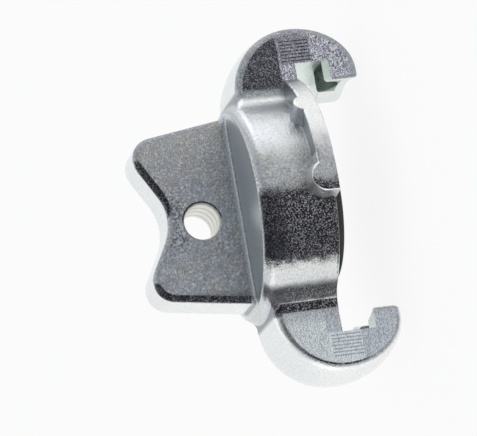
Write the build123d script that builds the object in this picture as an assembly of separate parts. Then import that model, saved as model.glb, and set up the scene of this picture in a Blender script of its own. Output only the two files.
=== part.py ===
from build123d import *
import os
from math import acos, asin, atan2, cos, degrees, hypot, radians, sin

# Blanking half of a claw coupling for compressed air, in millimetres.
# It stands on its two claws: the coupling axis is Z, the sealing face looks down
# and the wing grip stands up. The claws lie along X. Depths run down from the
# round back face, and angles turn about Z from -Y towards the claw at +X.

# Collar, the round body behind the sealing face
collar_radius = 19.75
collar_length = 13.85
face_edge_round = 0.5
back_bevel = 0.85
back_edge_round = 1.6

# Claws
claw_gap = 42.0
claw_width = 16.0
hook_length = 3.78
claw_thickness = 6.35
tip_thickness = 5.25
mouth_width = 6.1
back_depth = 2.0
back_round = 11.8
shoulder_step = 0.25
shoulder_round = 1.4
nose_land = 1.6
rim_round = 1.6
web_radius = 4.0
tip_round = 0.6
detent_radius = 3.2

# Cam rails, which the other half's claw tips ride behind
rail_height = 3.75
rail_thickness = 3.15
rail_end_angle = 80.0
rail_edge_round = 0.45
rail_blend = 3.0
lug_radius = 3.2
lug_set_back = 1.9
lug_taper = 7.0
stop_angle = 39.5
stop_radius = 2.9

# Throat, seal groove and blind cavity in the sealing face
groove_wall = 2.85
groove_height = 5.2
throat_shelf = 2.3
throat_depth = 1.6
seal_seat = 4.4
back_wall = 4.6

# Rubber seal ring
seal_proud = 2.5
seal_overhang = 0.8
seal_clearance = 0.3
seal_lip_round = 0.6

# Wing grip with its chain hole
grip_thickness = 9.5
grip_length = 17.9
grip_inset = 1.75
grip_lean = 2.05
wing_radius = 4.0
notch_depth = 4.4
notch_radius = 9.2
grip_edge_round = 1.3
grip_root_round = 1.0
chain_hole_radius = 3.25
chain_hole_lift = 0.55
chain_hole_offset = -1.3
chain_hole_round = 0.5

# Fine ribs on the flanks of the claws
rib_count = 7
rib_pitch = 0.62
rib_gap = 0.26
rib_sink = 0.15
rib_clearance = 0.4
rib_start = 2.4
rib_length = 5.4

tip_radius = hypot(claw_gap / 2, claw_width / 2)
mouth_floor_radius = tip_radius + hook_length
crown_radius = mouth_floor_radius + claw_thickness
mouth_depth = collar_length + mouth_width
claw_depth = mouth_depth + tip_thickness
rail_radius = collar_radius + rail_height
rail_depth = collar_length - rail_thickness
groove_radius = collar_radius - groove_wall
groove_top = collar_length - throat_depth - groove_height
throat_radius = groove_radius - throat_shelf
cavity_radius = throat_radius - seal_seat
seal_bore_radius = cavity_radius - seal_overhang
grip_root = ((collar_radius - grip_inset) ** 2 - grip_thickness**2 / 4) ** 0.5
grip_waist = grip_length - notch_depth
buried = collar_radius - groove_wall / 2
profile_plane = Plane(origin=(0, 0, claw_depth), x_dir=(1, 0, 0), z_dir=(0, 1, 0))


def turned(outline, angle=360):
    """Solid turned about Z from a closed outline of radius and depth."""
    return revolve(profile_plane * make_face(outline), Axis.Z, angle)


def ring(inner, outer, top_depth, bottom_depth, angle=360):
    """Turned ring between two radii and two depths, or a sector of it."""
    corners = [(inner, top_depth), (outer, top_depth), (outer, bottom_depth), (inner, bottom_depth)]
    return turned(Polyline(*corners, close=True), angle)


def edges_between(solid, first, second):
    """Edges where a face that passes one test meets a face that passes the other."""
    ones = [edge for face in solid.faces() if first(face) for edge in face.edges()]
    others = [edge for face in solid.faces() if second(face) for edge in face.edges()]
    return [edge for edge in ones if any(edge.is_same(other) for other in others)]


def flat_at(z):
    """Test for a level face at a height."""
    return lambda face: (
        face.geom_type == GeomType.PLANE
        and abs(face.normal_at().Z) > 0.99
        and abs(face.center().Z - z) < 0.01
    )


def round_at(radius):
    """Test for an upright round face at a radius from the axis."""
    return lambda face: face.geom_type == GeomType.CYLINDER and all(
        abs(hypot(corner.X, corner.Y) - radius) < 0.01 for corner in face.vertices()
    )


def is_wall(face):
    """True for the upright outer sides of the collar, the webs and the claws."""
    if face.geom_type == GeomType.PLANE:
        return abs(face.normal_at().Y) > 0.99
    inner = round_at(tip_radius)(face) or round_at(mouth_floor_radius)(face)
    return face.geom_type == GeomType.CYLINDER and not inner


def is_crown(face):
    """True for the turned outside of the back, the claws' crowns and their noses."""
    return face.geom_type not in (GeomType.PLANE, GeomType.CYLINDER) or flat_at(0)(face)


def claw_envelope():
    """Turned form of the collar and both claws, with the open mouth between."""
    back_flat_radius = collar_radius - back_bevel
    shoulder_radius = collar_radius + shoulder_step
    back_center = (crown_radius - back_round, back_depth + back_round)
    sweep = degrees(asin((back_center[0] - shoulder_radius) / back_round))
    shoulder = (shoulder_radius, back_center[1] - back_round * cos(radians(sweep)))
    nose_radius = tip_radius + nose_land
    nose = (nose_radius, back_center[1])
    outline = [
        Polyline((0, 0), (back_flat_radius, 0), shoulder),
        CenterArc(back_center, back_round, -90 - sweep, 90 + sweep),
        EllipticalCenterArc(nose, crown_radius - nose_radius, claw_depth - nose[1], 0, arc_size=90),
        Polyline(
            (nose_radius, claw_depth),
            (tip_radius, claw_depth),
            (tip_radius, mouth_depth),
            (mouth_floor_radius, mouth_depth),
            (mouth_floor_radius, collar_length),
            (0, collar_length),
            (0, 0),
        ),
    ]
    profile = make_face(Curve() + outline)
    corners = [(back_flat_radius, 0, back_edge_round), (*shoulder, shoulder_round)]
    for radius, depth, rounding in corners:
        near = profile.vertices().sort_by_distance((radius, depth, 0))[0]
        profile = fillet(near, rounding)
    return revolve(profile_plane * profile, Axis.Z)


def plan_with_webs(radius, blend):
    """Plan of a disc with the slab of the two claws, blended at their four corners."""
    plan = Circle(radius) + Rectangle(3 * crown_radius, claw_width)
    return fillet([v for v in plan.vertices() if abs(v.X) < crown_radius], blend)


def casting_blank():
    """Collar and claws with their cast roundings, still without rails or holes."""
    claws = Box(3 * crown_radius, claw_width, 3 * claw_depth)
    webs = extrude(plan_with_webs(collar_radius, web_radius), claw_depth)
    plan = claws + Pos(0, 0, claw_depth - collar_length) * webs
    blank = Rot(0, 0, 90) * claw_envelope() & plan
    blank = fillet(edges_between(blank, is_wall, is_crown), rim_round)
    tips = round_at(tip_radius)
    tip_edges = [edge for face in blank.faces() if tips(face) for edge in face.edges()]
    blank = fillet(tip_edges, min(tip_round, (claw_depth - mouth_depth) / 3))
    return fillet(edges_between(blank, is_wall, flat_at(claw_depth - collar_length)), face_edge_round)


def rail_plates():
    """Both cam rails, blended into the claws' flanks, with their outer edges rounded."""
    plates = extrude(plan_with_webs(rail_radius, rail_blend), rail_thickness)
    plates = Pos(0, 0, claw_depth - collar_length) * plates
    outer = [e for f in plates.faces() if abs(f.normal_at().Z) < 0.5 for e in f.edges()]
    plates = fillet([e for e in outer if abs(e.tangent_at(0).Z) < 0.5], rail_edge_round)
    sector = ring(buried, rail_radius, rail_depth, collar_length, rail_end_angle)
    return [plates & Rot(0, 0, turn) * sector for turn in (-90, 90)]


def lug(angle, radius):
    """Half-round lug on the back of a rail, drafted and rounded outwards, at an angle."""
    turn = radians(angle)
    outward = (sin(turn), -cos(turn), 0)
    along = (cos(turn), sin(turn), 0)
    start = Vector(*outward) * buried + Vector(0, 0, claw_depth - collar_length + lug_set_back)
    base = radius + (collar_radius - buried) * sin(radians(lug_taper))
    reach = 2 * lug_set_back + base
    shape = Circle(base) + Pos(0, -reach / 2) * Rectangle(2 * base, reach)
    height = rail_radius - buried + rail_edge_round
    peg = extrude(Plane(start, along, outward) * shape, height, taper=lug_taper)
    peg = peg & ring(0, rail_radius, 0, collar_length)
    outer = [face for face in peg.faces() if round_at(rail_radius)(face)]
    return fillet([edge for face in outer for edge in face.edges()], rail_edge_round)


def lugs():
    """End lug and stop lug of both rails."""
    pair = [lug(0, lug_radius), lug(stop_angle, stop_radius)]
    return pair + [Rot(0, 0, 180) * one for one in pair]


def face_holes():
    """Throat, seal groove and blind cavity, cut up from the sealing face."""
    throat = ring(0, throat_radius, collar_length - throat_depth, claw_depth)
    groove = ring(0, groove_radius, groove_top, collar_length - throat_depth)
    cavity = ring(0, cavity_radius, back_wall, claw_depth)
    return [throat, groove, cavity]


def detents():
    """Half-round grooves down the inner faces of both claw tips."""
    rod = Pos(0, 0, claw_depth - mouth_depth) * Rot(0, 90, 0) * Cylinder(detent_radius, 3 * crown_radius)
    return rod & ring(0, mouth_floor_radius, mouth_depth - detent_radius, claw_depth)


def flank_ribs():
    """Fine grooves that leave ribs along the flanks of the claws."""
    middle = claw_depth - collar_length + rib_start - rib_length / 2
    cut = Box(rib_gap, 2 * rib_sink, rib_length)
    first = (mouth_floor_radius**2 - claw_width**2 / 4) ** 0.5 + rib_clearance + rib_gap / 2
    radii = [first + count * rib_pitch for count in range(rib_count)]
    sides = [(end, side) for end in (-1, 1) for side in (-1, 1)]
    return [Pos(end * x, side * claw_width / 2, middle) * cut for x in radii for end, side in sides]


def grip_half():
    """Half of the wing grip's face, as half width and height above the back face."""
    wing = (grip_root - grip_lean - wing_radius, grip_length - wing_radius)
    rise = notch_depth - wing_radius
    roomiest = (wing[0] ** 2 + rise**2 - wing_radius**2) / (2 * notch_depth)
    floor_round = min(notch_radius, 0.9 * roomiest)
    notch = (0, grip_waist + floor_round)
    bridge = (wing[0] - notch[0], wing[1] - notch[1])
    swing = acos((wing_radius + floor_round) / hypot(*bridge))
    inner = atan2(bridge[1], bridge[0]) - swing
    low = (floor_round * cos(inner), notch[1] + floor_round * sin(inner))
    high = (wing[0] - wing_radius * cos(inner), wing[1] - wing_radius * sin(inner))
    root = (grip_root, 0)
    fall = (root[0] - wing[0], root[1] - wing[1])
    outer = atan2(fall[1], fall[0]) + acos(wing_radius / hypot(*fall))
    side = (wing[0] + wing_radius * cos(outer), wing[1] + wing_radius * sin(outer))
    first = degrees(inner) + 180
    outline = [
        CenterArc(notch, floor_round, -90, 90 + degrees(inner)),
        Line(low, high),
        CenterArc(wing, wing_radius, first, degrees(outer) - first),
        Polyline(side, root, (root[0], -back_wall / 2), (0, -back_wall / 2), (0, grip_waist)),
    ]
    return make_face(Curve() + outline)


def grip():
    """Wing grip with rounded edges, let into the back face."""
    half = grip_half()
    plate = extrude(half + mirror(half, Plane.YZ), grip_thickness / 2, both=True)
    faces = [face for face in plate.faces() if abs(face.normal_at().Z) > 0.99]
    edges = [e for f in faces for e in f.edges() if e.center().Y > -back_wall / 4]
    plate = fillet(edges, grip_edge_round)
    bore = Cylinder(chain_hole_radius, 2 * grip_thickness)
    plate = plate - Pos(chain_hole_offset, grip_waist / 2 + chain_hole_lift) * bore
    circles = [edge for edge in plate.edges() if edge.geom_type == GeomType.CIRCLE]
    rims = [edge for edge in circles if abs(edge.radius - chain_hole_radius) < 0.01]
    return Pos(0, 0, claw_depth) * Rot(90, 0, 0) * fillet(rims, chain_hole_round)


def coupling_body():
    """One casting: collar, claws, rails with their lugs, and the wing grip."""
    body = casting_blank() + rail_plates() + lugs()
    body = body - face_holes() - detents() - flank_ribs()
    body = body + grip()
    back = [face for face in body.faces() if flat_at(claw_depth)(face)]
    root = [edge for face in back for wire in face.inner_wires() for edge in wire.edges()]
    return fillet(root, grip_root_round)


def seal_ring():
    """Rubber seal with a flange in the groove and a lip that stands proud of the face."""
    shelf_depth = collar_length - throat_depth
    lip_depth = collar_length + seal_proud
    flange = ring(seal_bore_radius, groove_radius - seal_clearance, groove_top, shelf_depth)
    neck = ring(seal_bore_radius, throat_radius - seal_clearance, shelf_depth, lip_depth)
    seal = flange + neck
    lip = [face for face in seal.faces() if flat_at(claw_depth - lip_depth)(face)]
    return fillet([edge for face in lip for edge in face.edges()], seal_lip_round)


os.makedirs("parts", exist_ok=True)
export_step(coupling_body(), "parts/coupling_body.step")
export_step(seal_ring(), "parts/seal_ring.step")
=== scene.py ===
from math import cos, degrees, hypot, radians, sin, tau

import bpy
from mathutils import Matrix, Vector


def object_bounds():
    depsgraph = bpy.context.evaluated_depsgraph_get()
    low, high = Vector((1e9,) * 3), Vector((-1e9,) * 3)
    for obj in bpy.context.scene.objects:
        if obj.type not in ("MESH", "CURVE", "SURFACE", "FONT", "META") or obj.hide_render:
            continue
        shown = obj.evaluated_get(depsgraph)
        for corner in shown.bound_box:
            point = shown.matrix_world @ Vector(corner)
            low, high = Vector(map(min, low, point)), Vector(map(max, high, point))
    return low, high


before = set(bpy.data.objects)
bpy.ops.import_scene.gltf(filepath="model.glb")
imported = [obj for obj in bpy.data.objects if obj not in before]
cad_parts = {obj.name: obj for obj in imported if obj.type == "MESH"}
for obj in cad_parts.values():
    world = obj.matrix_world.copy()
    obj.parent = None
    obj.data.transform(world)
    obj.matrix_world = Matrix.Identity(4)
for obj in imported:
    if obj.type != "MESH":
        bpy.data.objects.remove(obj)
cad_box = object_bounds()


# The casting
# One piece of malleable iron: collar, two hook claws, cam rails with their lugs and a wing
# grip. It is sand cast, so its skin is grained, and then zinc plated bright and bluish.

class Signal:
    """One output of a node. Sums and products of signals add Math nodes."""

    def __init__(self, socket):
        self.socket = socket

    def node(self, kind, settings, inputs, output=0):
        """Adds a node to the same tree, sets it up, then fills or links its inputs."""
        tree = self.socket.id_data
        made = tree.nodes.new(kind)
        for name, setting in settings.items():
            setattr(made, name, setting)
        for name, value in inputs.items():
            if isinstance(value, Signal):
                tree.links.new(value.socket, made.inputs[name])
            else:
                made.inputs[name].default_value = value
        return Signal(made.outputs[output])

    def math(self, operation, *terms):
        return self.node("ShaderNodeMath", {"operation": operation}, dict(enumerate(terms)))

    def vector(self, operation, inputs, output="Vector"):
        """Vector Math that starts from this signal."""
        return self.node("ShaderNodeVectorMath", {"operation": operation}, {0: self, **inputs}, output)

    def __add__(self, other):
        return self.math("ADD", self, other)

    def __radd__(self, other):
        return self.math("ADD", other, self)

    def __sub__(self, other):
        return self.math("SUBTRACT", self, other)

    def __rsub__(self, other):
        return self.math("SUBTRACT", other, self)

    def __mul__(self, other):
        return self.math("MULTIPLY", self, other)

    def __rmul__(self, other):
        return self.math("MULTIPLY", other, self)

    def __abs__(self):
        return self.math("ABSOLUTE", self)

    def part(self, axis):
        """The X, Y or Z of a place or a direction."""
        return self.node("ShaderNodeSeparateXYZ", {}, {"Vector": self}, axis)

    def between(self, low, high):
        """Rises smoothly from 0 at low to 1 at high, or falls where low is the larger."""
        smooth = {"interpolation_type": "SMOOTHSTEP"}
        limits = {"Value": self, "From Min": low, "From Max": high}
        return self.node("ShaderNodeMapRange", smooth, limits)

    def within(self, low, high, soft):
        """1 from low to high and 0 outside, with soft edges."""
        return self.between(low - soft, low + soft) * self.between(high + soft, high - soft)


millimetre = 0.001


def new_finish(name):
    """A new finish and the shader of its surface."""
    finish = bpy.data.materials.new(name)
    finish.use_nodes = True
    return finish, finish.node_tree.nodes["Principled BSDF"]


def place_on(shader):
    """The place on a piece, in millimetres."""
    metres = Signal(shader.outputs["BSDF"]).node("ShaderNodeTexCoord", {}, {}, "Object")
    return metres.vector("SCALE", {"Scale": 1 / millimetre})


def mixed(factor, first, second):
    """A colour between two others. The Mix node takes them at its inputs 6 and 7."""
    ends = [color if isinstance(color, Signal) else (*color, 1) for color in (first, second)]
    return factor.node("ShaderNodeMix", {"data_type": "RGBA"}, {0: factor, 6: ends[0], 7: ends[1]}, 2)


def grain(place, size, detail):
    """Noise with bumps about as wide as size, in millimetres."""
    return place.node("ShaderNodeTexNoise", {}, {"Vector": place, "Scale": 1 / size, "Detail": detail})


def crystals(place, size, output):
    """Cells about as wide as size, in millimetres."""
    return place.node("ShaderNodeTexVoronoi", {}, {"Vector": place, "Scale": 1 / size}, output)


def bump(relief):
    """The slopes of a relief in millimetres."""
    return relief.node("ShaderNodeBump", {}, {"Strength": 1.0, "Distance": millimetre, "Height": relief})


def link(signal, node, name):
    """Feeds a signal to an input of a node."""
    signal.socket.id_data.links.new(signal.socket, node.inputs[name])


def give_finish(node, finish):
    """Gives a solid of the frame its finish."""
    node.data.materials.clear()
    node.data.materials.append(finish)


def toward(direction, azimuth):
    """How nearly a direction points to an azimuth, in degrees from -Y towards +X."""
    aim = (sin(radians(azimuth)), -cos(radians(azimuth)), 0)
    return direction.vector("DOT_PRODUCT", {1: aim}, "Value")


def turned_from(direction, azimuth):
    """Degrees between a level direction and an azimuth or the opposite one."""
    nearness = abs(toward(direction, azimuth))
    return nearness.math("ARCCOSINE", nearness) * degrees(1)


# Its sizes in millimetres, with heights over the claws' tips.
collar_radius = 19.75
collar_length = 13.85
claw_gap = 42.0
claw_width = 16.0
hook_length = 3.78
tip_thickness = 5.25
mouth_width = 6.1
detent_radius = 3.2
rib_start = 2.4
rib_length = 5.4
grip_length = 17.9
waist_depth = 4.4
hole_radius = 3.25
hole_lift = 0.55
hole_offset = -1.3
inner_face = claw_gap / 2
flank = claw_width / 2
tip_radius = hypot(inner_face, flank)
mouth_radius = tip_radius + hook_length
mouth_end = (mouth_radius**2 - flank**2) ** 0.5
mouth_height = tip_thickness + mouth_width
back_height = mouth_height + collar_length
ribs_top = mouth_height + rib_start
ribs_low = ribs_top - rib_length
waist_height = back_height + grip_length - waist_depth
hole_height = (back_height + waist_height) / 2 + hole_lift

# Places lie along and across the claws, at a height over their tips and at a distance from
# the coupling's axis. A wall is upright, and may face outward from that axis.
zinc, zinc_shader = new_finish("bright_zinc")
zinc_place = place_on(zinc_shader)
zinc_normal = zinc_place.node("ShaderNodeTexCoord", {}, {}, "Normal")
along, across, height = (zinc_place.part(axis) for axis in "XYZ")
out_x, out_y, out_z = (zinc_normal.part(axis) for axis in "XYZ")
from_axis = zinc_place.math("SQRT", along * along + across * across)
upright = zinc_normal.math("SQRT", out_x * out_x + out_y * out_y)
outward = (out_x * along + out_y * across) * (1 / collar_radius)

# The cast skin has fine grain, flecks, wrinkles and the broad waves of the sand. They also
# make the edges of the stretches below uneven, by some degrees.
grain_size = 0.30
fleck_size = 0.15
wrinkle_size = 0.42
wave_size = 2.2
patch_size = 5.0
fine_grain = 1 - crystals(zinc_place, grain_size, "Distance")
fleck = crystals(zinc_place, fleck_size, "Color").part("X")
wrinkle = grain(zinc_place, wrinkle_size, 3)
waves = grain(zinc_place, wave_size, 3)
patches = grain(zinc_place, patch_size, 2)
uneven = (waves - 0.5) * 9 + (fleck - 0.5) * 5

# Where the parts of the casting are. The top claw is the one on the +X side.
web_limit = 12.0
stop_lug_start = 9.0
end_lug_limit = 4.2
on_grip = height.between(back_height + 0.2, back_height + 1.4)
on_claw = abs(along).between(inner_face - 0.7, inner_face + 0.3) * (1 - on_grip)
on_top_claw = along.between(-2, 2)
on_low_claw = on_claw * (1 - on_top_claw)
on_collar = (1 - on_grip) * (1 - on_claw)
on_wall = on_collar * from_axis.between(collar_radius + 0.65, collar_radius + 0.35)
on_stop_lug = from_axis.between(collar_radius + 0.25, collar_radius + 0.65)
on_stop_lug = on_stop_lug * abs(along).between(stop_lug_start, stop_lug_start + 2)
web_edge = (abs(across) + uneven * 0.08).between(web_limit, web_limit - 1.6)
on_web = web_edge * abs(along).between(web_limit, web_limit + 2) * on_collar
on_back = height.between(back_height - 0.12, back_height - 0.03) * (1 - on_grip)
near_back = height.between(back_height - 9.2, back_height - 4.2)
flat = abs(out_y).between(0.97, 0.99)

# The plating's mirror images of its dim and nearly black surroundings are painted into its
# colour, as stretches that follow the way the walls face, with uneven edges.
plan_normal = zinc_normal.vector("MULTIPLY", {1: (1, 1, 0)}).vector("NORMALIZE", {})


def facing(azimuth, edge, core, unevenness=1.0):
    """1 on walls that face an azimuth to within core degrees, and 0 past edge degrees."""
    return (turned_from(plan_normal, azimuth) + uneven * unevenness).between(edge, core)


# Painted dim reflection on the collar's walls that face front and back, and on the faces of the grip and
# the claws. The grain is a little deeper there.
dim_reflection = facing(-2, edge=28, core=9) * on_collar
dim_reflection = dim_reflection + abs(out_y).between(0.15 + 0.5 * on_low_claw, 0.5 + 0.45 * on_low_claw) * (1 - on_collar)
# Painted dark reflections: nearly black stretches on the collar, the webs, the grip and the claws.
dark_collar = facing(-21.5, edge=22, core=17.5) * on_collar
dark_collar = dark_collar * (1 - 0.6 * on_stop_lug) * (1 - on_web)
web_slope = facing(-46, edge=23, core=16) * 0.9
web_foot = facing(-13, edge=14, core=10, unevenness=0.4)
dark_web = web_slope.math("MAXIMUM", web_slope, web_foot) * on_web
dark_grip = facing(-32, edge=32, core=28, unevenness=0.4) * on_grip
dark_grip = dark_grip * (1 - abs(out_y).between(0.992, 0.999))
dark_claw = facing(-14, edge=11, core=8, unevenness=0.4) * on_claw * (1 - flat)
dark_claw = dark_claw * height.between(tip_thickness + 0.75, tip_thickness + 3.75) * (1 - 0.6 * near_back)
dark = (dark_collar + dark_web + dark_grip + dark_claw) * upright.between(0.35, 0.7)

# A claw's flank is painted in three tones of reflection: behind the fine ribs, on them and in
# front of them. Each pair is for the low claw and the top one, which mirror different
# surroundings, and the grooves between the ribs get painted shade, nearly black on the top claw.
# Nearly black, for the pits and for painted shade.
pit_and_shade_color = (0.03, 0.03, 0.04)
rear = mixed(on_top_claw, (0.69, 0.74, 0.76), (0.065, 0.068, 0.085))
ribbed = mixed(on_top_claw, (0.72, 0.78, 0.83), (0.26, 0.26, 0.32))
front = mixed(on_top_claw, (0.53, 0.57, 0.63), (0.42, 0.43, 0.52))
patch_low = ribs_low - 0.15
patch_top = ribs_top + 0.55
on_rear = height.between(patch_top - 0.1, patch_top + 0.1)
on_ribs = height.within(patch_low, patch_top, 0.1) * abs(along).between(mouth_end - 0.3, mouth_end + 0.2)
in_groove = abs(across).between(flank - 0.03, flank - 0.12)
flank_reflection = mixed(on_rear, mixed(on_ribs, front, ribbed), rear)
flank_reflection = mixed(in_groove * (0.35 + 0.55 * on_top_claw), flank_reflection, pit_and_shade_color)
coarse = flat * on_claw * (0.25 + 0.75 * on_top_claw) * (1 - 0.6 * on_ribs)

# The collar's upper wall gets a painted highlight, its bevel a painted dim reflection and the
# back face's rim a painted highlight line. The rails' ledges get a painted dim reflection,
# painted bright at the end lugs, and the foot of the low claw's web gets painted shade.
wall_highlight = along.between(5, 10) * (0.2 + 0.8 * near_back)
bevel = height.between(back_height - 2.2, back_height - 1.8) * on_collar * out_z.between(0.2, 0.5)
on_ledge = from_axis.between(collar_radius + 0.15, collar_radius + 0.4) * on_collar
on_ledge = on_ledge * outward.between(0.85, 0.5)
under_web_shade = along.between(-inner_face - 2.4, -inner_face - 0.4) * on_low_claw * flat
rim_highlight = height.between(back_height - 0.3, back_height - 0.2) * out_z.between(0.90, 0.95)
rim_highlight = rim_highlight * on_collar * (1 - on_back)

# The wing grip has smudges and scuffs at its waist, painted shade along its lower edge and in
# its root, and a painted light that makes its top lighter.
grip_edge = 16.4
smudged = waves.between(0.48, 0.70) * on_grip * flat
lower_edge_shade = (along + uneven * 0.12).between(2.8 - grip_edge, -grip_edge) * on_grip
lower_edge_shade = lower_edge_shade * abs(out_y).between(0.9, 0.97)
painted_top_light = (along + uneven * 0.2).between(5, 15) * on_grip * flat
at_waist = height.between(waist_height - 4.2, waist_height - 1.7) * abs(along + 1).between(6.5, 3.5)
root_shade = height.within(back_height + 0.15, back_height + 0.9, 0.1) * out_z.within(0.2, 0.97, 0.05)

# The chain hole's wall is painted a bright cream reflection, with darker rings from its drill.
# The mouths are painted a pale greenish reflection and the notches in the claws' tips a dark
# greenish shade.
ring_pitch = 2.417
notch_floor = 1.95
beside_hole = along - hole_offset
above_hole = height - hole_height
from_hole = zinc_place.math("SQRT", beside_hole * beside_hole + above_hole * above_hole)
in_hole = from_hole.between(hole_radius + 0.25, hole_radius + 0.05) * on_grip
rings = zinc_place.math("SINE", across * (tau / ring_pitch)).between(0.5, 0.95)
past_tip = height.between(tip_thickness - 0.2, tip_thickness - 0.1)
mouth_limit = tip_radius + 0.3 + (mouth_radius - tip_radius) * past_tip
in_mouth = (mouth_limit - from_axis).between(0, 0.1) * on_claw * (1 - flat)
in_mouth = in_mouth * height.between(mouth_height + 0.2, mouth_height + 0.1)
in_notch = from_axis.between(mouth_radius + 0.15, mouth_radius + 0.05) * on_claw
in_notch = in_notch * abs(across).between(detent_radius + 0.1, detent_radius)
in_notch = in_notch * height.within(notch_floor, tip_thickness - 0.05, 0.05)

# Its colours, in the order in which they lie over each other.
bright_color = (0.95, 0.96, 0.95)
# Painted reflection and shade colours: dim, dim on the collar, and nearly black. The first also draws the
# drill rings, the last also the scuffs.
dim_reflection_color = (0.33, 0.353, 0.39)
collar_reflection_color = (0.46, 0.48, 0.50)
dark_color = (0.02, 0.02, 0.028)
shade_color = (0.20, 0.21, 0.24)
warm_color = (0.36, 0.34, 0.31)
# Painted warm light for the top of the wing grip.
pale_warm_color = (0.56, 0.54, 0.48)
back_color = (0.66, 0.72, 0.75)
# A painted pale greenish reflection for the mouths, and a painted dark greenish shade for the notches.
mouth_reflection_color = (0.84, 0.91, 0.87)
notch_shade_color = (0.20, 0.25, 0.22)
# The collar's side wall, with a painted highlight on its upper part.
wall_color = mixed(wall_highlight, (0.76, 0.775, 0.765), (0.93, 0.95, 0.98))
# Painted dim reflection on the rails' ledges, painted bright on the end lugs.
on_end_lug = abs(along).between(end_lug_limit + 0.4, end_lug_limit)
ledge_reflection_color = mixed(on_end_lug, (0.34, 0.37, 0.40), bright_color)
# A painted bright cream reflection in the chain hole, with darker drill rings.
hole_reflection_color = mixed(rings * 0.6, (0.85, 0.84, 0.76), dim_reflection_color)
pitted = fleck.between(0.50, 0.95) * (0.14 + 0.14 * dim_reflection + 0.6 * coarse + 0.3 * dark)
back_edge = height.between(back_height - 5.2, back_height - 3.2)
# Painted glints: bright flecks, most of them on the painted dim and dark stretches and on the claws'
# flanks.
glints = 0.10 * dim_reflection + 0.28 * dark * (1 - 0.7 * back_edge) + coarse * (0.75 - 0.6 * on_rear)
layers = [
    (dim_reflection, mixed(on_collar, dim_reflection_color, collar_reflection_color)),
    (patches.between(0.48, 0.62) * dim_reflection * 0.5, warm_color),
    (bevel * along.between(-12, -6) * 0.8, collar_reflection_color),
    (on_ledge, ledge_reflection_color),
    (wrinkle.between(0.48, 0.70) * (0.12 + 0.38 * dim_reflection + 0.14 * on_wall), shade_color),
    (wrinkle.between(0.48, 0.30) * dim_reflection * 0.35, bright_color),
    (smudged * 0.4, shade_color),
    (lower_edge_shade * 0.8, pit_and_shade_color),
    (painted_top_light * 0.3, pale_warm_color),
    (wrinkle.between(0.50, 0.58) * at_waist * flat * 0.6, dark_color),
    (dark, dark_color),
    (on_claw * flat, flank_reflection),
    (under_web_shade * 0.45, dim_reflection_color),
    (on_back * out_z.between(0.97, 0.995), back_color),
    (root_shade * 0.8, dim_reflection_color),
    (rim_highlight, bright_color),
    (pitted, pit_and_shade_color),
    (fleck.between(0.42, 0.02) * glints, bright_color),
    (in_hole, hole_reflection_color),
    (in_mouth * 0.8, mouth_reflection_color),
    (in_notch * 0.85, notch_shade_color),
]
zinc_color = mixed(on_wall, bright_color, wall_color)
for cover, color in layers:
    zinc_color = mixed(cover, zinc_color, color)

grain_height = 0.05
wave_height = 0.12
relief = fine_grain * (grain_height + 0.04 * dim_reflection + 0.05 * coarse) + waves * wave_height
link(bump(relief * (1 - on_back)), zinc_shader, "Normal")
link(zinc_color, zinc_shader, "Base Color")
zinc_shader.inputs["Metallic"].default_value = 1.0
zinc_shader.inputs["Roughness"].default_value = 0.34
give_finish(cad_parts["coupling_body"], zinc)


# The seal ring
# Moulded black rubber. Its flange is pressed into the groove behind the throat, and its
# lip stands proud of the sealing face.

rubber_color = (0.016, 0.016, 0.017)
bloom_color = (0.030, 0.029, 0.028)
bloom_size = 1.5
rubber_grain_size = 0.25
rubber_grain_height = 0.04
rubber, rubber_shader = new_finish("black_rubber")
rubber_place = place_on(rubber_shader)
bloom = grain(rubber_place, bloom_size, 3).between(0.4, 0.7)
rubber_grain = grain(rubber_place, rubber_grain_size, 2)
link(mixed(bloom, rubber_color, bloom_color), rubber_shader, "Base Color")
link(0.50 + 0.15 * rubber_grain, rubber_shader, "Roughness")
link(bump(rubber_grain * rubber_grain_height), rubber_shader, "Normal")
give_finish(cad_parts["seal_ring"], rubber)


# The stage
# A plain white floor under the claws and a pale sky, a little darker at the front, with
# soft lamps above and at both sides.

white, floor_shader = new_finish("white_floor")
floor_shader.inputs["Base Color"].default_value = (0.8, 0.8, 0.8, 1)
floor_shader.inputs["Roughness"].default_value = 0.9
floor_shader.inputs["Specular IOR Level"].default_value = 0.0
glow_share = 0.88
lit = Signal(floor_shader.outputs["BSDF"])
glow = lit.node("ShaderNodeEmission", {}, {})
ray_kinds = ("Is Camera Ray", "Is Glossy Ray", "Is Transmission Ray")
looked_at, mirrored, seen_through = (lit.node("ShaderNodeLightPath", {}, {}, kind) for kind in ray_kinds)
seen = looked_at + mirrored + seen_through
surface = lit.node("ShaderNodeMixShader", {}, {0: seen * glow_share, 1: lit, 2: glow})
link(surface, white.node_tree.nodes["Material Output"], "Surface")

half_floor = 3.0
corners = [(x * half_floor, y * half_floor, 0) for x, y in ((-1, -1), (1, -1), (1, 1), (-1, 1))]
floor_mesh = bpy.data.meshes.new("floor")
floor_mesh.from_pydata(corners, [], [(0, 1, 2, 3)])
floor_mesh.materials.append(white)
floor = bpy.data.objects.new("floor", floor_mesh)
bpy.context.collection.objects.link(floor)

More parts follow.
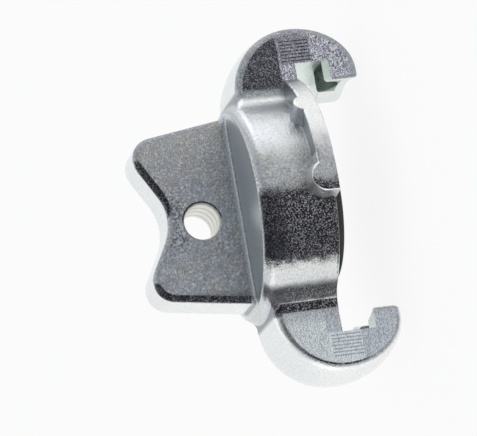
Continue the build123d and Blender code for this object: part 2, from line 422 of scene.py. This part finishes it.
world = bpy.data.worlds.new("studio")
bpy.context.scene.world = world
world.use_nodes = True
background = world.node_tree.nodes["Background"]
direction = Signal(background.outputs["Background"]).node("ShaderNodeTexCoord", {}, {}, "Generated")
behind = direction.part("Y").between(-0.1, 0.5)
pale_sky = mixed(behind, (0.66, 0.68, 0.70), (0.88, 0.90, 0.91))
dark_side = toward(direction, -33).between(0.62, 0.86)
dim_side = toward(direction, 22).between(0.70, 0.97)
sky = mixed((1 - 0.35 * dark_side) * (1 - 0.2 * dim_side), (0.02, 0.02, 0.022), pale_sky)
link(sky, background, "Color")

middle = (Vector(cad_box[0]) + Vector(cad_box[1])) / 2


def add_lamp(name, place, width, height, watts):
    """A soft rectangular lamp that faces the middle of the coupling."""
    lamp = bpy.data.lights.new(name, "AREA")
    lamp.shape = "RECTANGLE"
    lamp.size = width
    lamp.size_y = height
    lamp.energy = watts
    holder = bpy.data.objects.new(name, lamp)
    holder.location = place
    holder.rotation_euler = (middle - Vector(place)).to_track_quat("-Z", "Y").to_euler()
    bpy.context.collection.objects.link(holder)


add_lamp("lamp_right", (0.7, 0.05, 0.16), width=0.8, height=0.3, watts=0.6)
add_lamp("lamp_left", (-0.7, 0.0, 0.14), width=0.8, height=0.3, watts=0.6)
add_lamp("lamp_above", (0.1, 0.05, 0.8), width=0.6, height=0.7, watts=0.9)


# The camera
# It looks along the flats of the wing grip's side and is turned so that the coupling's
# axis lies across the picture, with the wing grip at the left.

view_azimuth = radians(-13.57)
view_elevation = radians(13.44)
view_roll = radians(96.72)
view_distance = 0.7
lens = 293.56
film_width = 36
off_centre = Vector((0.00053, -0.00024, 0))
back_face = Vector((0, 0, back_height * millimetre))

turn = Matrix.Rotation(view_azimuth, 3, "Z") @ Matrix.Rotation(-view_elevation, 3, "X")
away = turn @ Vector((0, 1, 0))
rotation = away.to_track_quat("-Z", "Y").to_matrix() @ Matrix.Rotation(-view_roll, 3, "Z")
stand = back_face + rotation @ off_centre - view_distance * away
camera_data = bpy.data.cameras.new("camera")
camera_data.lens = lens
camera_data.sensor_width = film_width
camera = bpy.data.objects.new("camera", camera_data)
camera.matrix_world = Matrix.Translation(stand) @ rotation.to_4x4()
bpy.context.collection.objects.link(camera)
bpy.context.scene.camera = camera

bpy.context.scene.view_settings.view_transform = "Standard"
